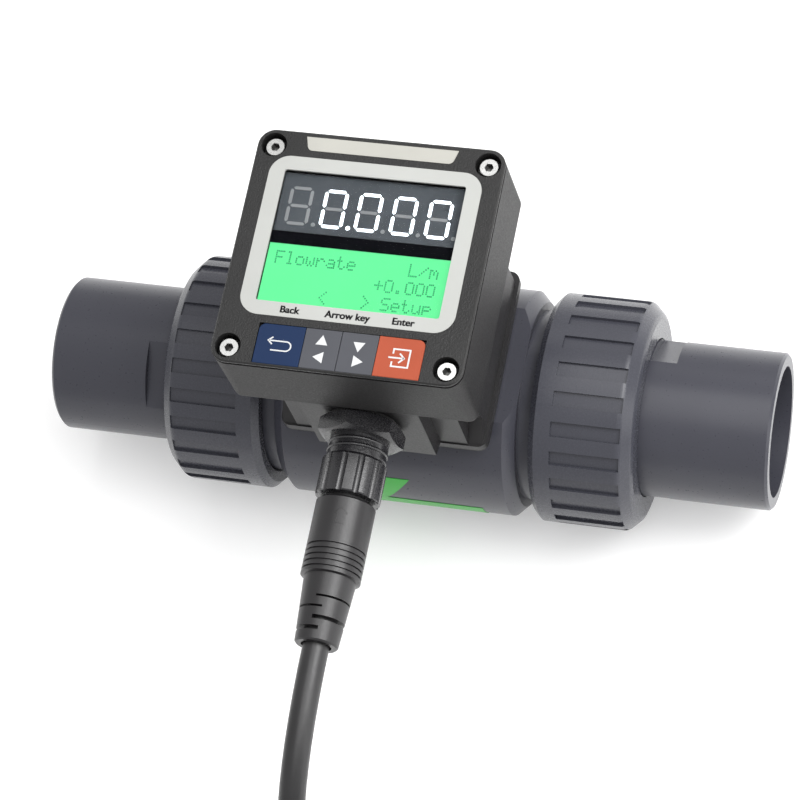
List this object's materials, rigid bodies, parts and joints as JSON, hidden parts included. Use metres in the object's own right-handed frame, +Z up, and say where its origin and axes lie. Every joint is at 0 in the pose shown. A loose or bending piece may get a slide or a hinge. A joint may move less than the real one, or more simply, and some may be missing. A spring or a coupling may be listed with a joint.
{
  "type": "flow meter",
  "caption": "Inline paddle-wheel flow meter: plastic pipe body with a socket union at each end, square display head with keys, and a plugged-in cable.",
  "frame": {"origin": "centre of the inlet socket's mouth, on the pipe axis", "axes": "+X out of the inlet socket along the pipe, +Y towards the top edge of the display, +Z up out of the display"},
  "size_m": [0.2821, 0.453, 0.1681],
  "materials": {
    "pipe_plastic": "fine satin, moulded and machined PVC",
    "nut_plastic": "satin moulded PVC",
    "seal_rubber": "plain",
    "arrow_paint": "flat printed film",
    "insert_plastic": "moulded",
    "blade_plastic": "moulded",
    "disc_plastic": "moulded",
    "magnet_metal": "plated",
    "bush_polymer": "turned",
    "axle_steel": "ground stainless",
    "chip_black": "moulded",
    "board_green": "coated laminate",
    "head_plastic": "fine grained",
    "screw_steel": "stainless",
    "plate_white": "satin",
    "label_film": "plain film",
    "window_clear": "clear sheet",
    "digit_face": "dark tinted",
    "digit_lit": "lit",
    "digit_dim": "diffusing",
    "lcd_back": "moulded",
    "lcd_green": "backlit glass",
    "key_blue": "silk-screened",
    "key_grey": "silk-screened",
    "key_orange": "silk-screened",
    "connector_black": "moulded",
    "contact_gold": "gold plated",
    "plug_black": "soft moulded",
    "cable_jacket": "soft extruded",
    "tie_nylon": "moulded",
    "core_insulation": "extruded"
  },
  "bodies": {
    "meter": {"meter_body": "pipe_plastic", "inlet_end_connector": "pipe_plastic", "outlet_end_connector": "pipe_plastic", "inlet_face_seal": "seal_rubber", "outlet_face_seal": "seal_rubber", "flow_arrow": "arrow_paint", "sensor_insert": "insert_plastic", "insert_seal": "seal_rubber", "wheel_axle": "axle_steel", "hall_sensor": "chip_black", "sensor_board": "board_green", "sensor_socket": "chip_black", "adapter_gasket": "seal_rubber", "adapter_base": "head_plastic", "adapter_screws": "screw_steel", "head_gasket": "seal_rubber", "rear_housing": "head_plastic", "head_screws": "screw_steel", "cover_seal": "seal_rubber", "front_cover": "head_plastic", "cover_screws": "screw_steel", "blank_label": "label_film", "frame_plate": "plate_white", "display_window": "window_clear", "digit_module": "digit_face", "lit_bars": "digit_lit", "dim_bars": "digit_dim", "lcd_body": "lcd_back", "lcd_screen": "lcd_green", "key_switches": "chip_black", "display_board": "board_green", "display_board_screws": "screw_steel", "main_board": "board_green", "main_board_screws": "screw_steel", "main_board_parts": "chip_black", "board_link": "chip_black", "receptacle": "connector_black", "receptacle_washer": "seal_rubber", "receptacle_lock_nut": "connector_black", "contact_carrier": "connector_black", "contact_pins": "contact_gold", "cable_plug": "plug_black", "sensor_cable": "cable_jacket", "cable_coil": "cable_jacket", "cable_tie": "tie_nylon", "cable_tail": "cable_jacket", "cable_cores": "core_insulation"},
    "inlet_nut_body": {"inlet_union_nut": "nut_plastic"},
    "outlet_nut_body": {"outlet_union_nut": "nut_plastic"},
    "paddle_wheel": {"wheel_blades": "blade_plastic", "wheel_disc_back": "disc_plastic", "wheel_disc_front": "disc_plastic", "wheel_magnets": "magnet_metal", "wheel_bushes": "bush_polymer"},
    "back_key_body": {"back_key": "key_blue"},
    "left_arrow_body": {"left_arrow_key": "key_grey"},
    "right_arrow_body": {"right_arrow_key": "key_grey"},
    "enter_key_body": {"enter_key": "key_orange"},
    "coupling_nut_body": {"coupling_nut": "connector_black"}
  },
  "joints": [
    {"name": "paddle_wheel_spin", "type": "hinge", "parent": "meter", "child": "paddle_wheel", "pos_m": [-0.141, 0, 0.0136], "axis": [0, 1, 0], "continuous": true},
    {"name": "inlet_nut_turn", "type": "hinge", "parent": "meter", "child": "inlet_nut_body", "pos_m": [-0.0687, 0, 0], "axis": [1, 0, 0], "continuous": true},
    {"name": "outlet_nut_turn", "type": "hinge", "parent": "meter", "child": "outlet_nut_body", "pos_m": [-0.2133, 0, 0], "axis": [1, 0, 0], "continuous": true},
    {"name": "coupling_nut_turn", "type": "hinge", "parent": "meter", "child": "coupling_nut_body", "pos_m": [-0.141, -0.066, 0.07], "axis": [0, 1, 0], "continuous": true},
    {"name": "back_key_press", "type": "slide", "parent": "meter", "child": "back_key_body", "axis": [0, 0, -1], "range_m": [0, 0.00045], "stiffness_N_per_m": 2000},
    {"name": "left_arrow_press", "type": "slide", "parent": "meter", "child": "left_arrow_body", "axis": [0, 0, -1], "range_m": [0, 0.00045], "stiffness_N_per_m": 2000},
    {"name": "right_arrow_press", "type": "slide", "parent": "meter", "child": "right_arrow_body", "axis": [0, 0, -1], "range_m": [0, 0.00045], "stiffness_N_per_m": 2000},
    {"name": "enter_key_press", "type": "slide", "parent": "meter", "child": "enter_key_body", "axis": [0, 0, -1], "range_m": [0, 0.00045], "stiffness_N_per_m": 2000}
  ]
}
